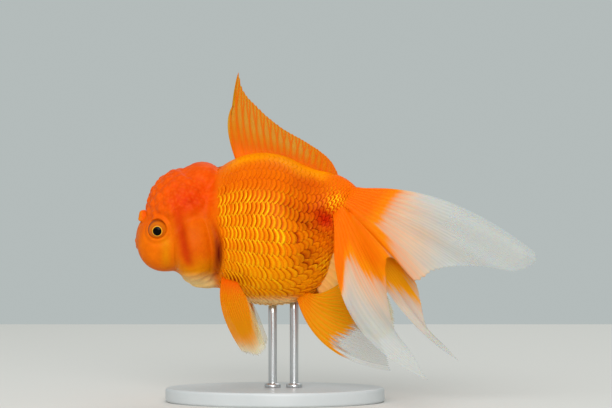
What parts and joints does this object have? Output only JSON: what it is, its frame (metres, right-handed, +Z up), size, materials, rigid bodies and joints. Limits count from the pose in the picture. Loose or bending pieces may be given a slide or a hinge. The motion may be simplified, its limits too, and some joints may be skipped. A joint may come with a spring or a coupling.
{
  "type": "fancy goldfish",
  "caption": "Life-size still model of a hooded fancy goldfish with a deep bent body and flowing twin tail, on a flat base with thin rods.",
  "frame": {"origin": "middle of the flat underside of the display stand's base", "axes": "+Z up; the fish looks along -X with its left flank towards -Y, and its tail stalk bends to its left, towards -Y"},
  "size_m": [0.1665, 0.0762, 0.1375],
  "materials": {
    "hood_skin": "soft fleshy red-orange hood, wet satin",
    "face_skin": "smooth orange skin fading to gold and cream at the throat, wet satin",
    "body_scales": "overlapping metallic gold-orange scales",
    "orange_fin": "orange rays with thin paler translucent membrane",
    "tail_fin": "orange at the root, pinkish white rays, clear at the tips",
    "eye": "glossy black pupil in a thin gold ring",
    "stand_base": "plain pale grey satin",
    "stand_steel": "brushed"
  },
  "bodies": {
    "root": {"hood": "hood_skin", "face": "face_skin", "gill_cover_left": "face_skin", "gill_cover_right": "face_skin", "nostril_flap_left": "face_skin", "nostril_flap_right": "face_skin", "eye_left": "eye", "eye_right": "eye", "trunk": "body_scales", "tail_stalk": "body_scales", "dorsal_fin": "orange_fin", "pectoral_fin_left": "orange_fin", "pectoral_fin_right": "orange_fin", "pelvic_fin_left": "orange_fin", "pelvic_fin_right": "orange_fin", "anal_fin_left": "orange_fin", "anal_fin_right": "orange_fin", "tail_upper_lobe_left": "tail_fin", "tail_lower_lobe_left": "tail_fin", "tail_upper_lobe_right": "tail_fin", "tail_lower_lobe_right": "tail_fin", "stand_base": "stand_base", "stand_rod_1": "stand_steel", "stand_rod_2": "stand_steel"}
  },
  "joints": []
}
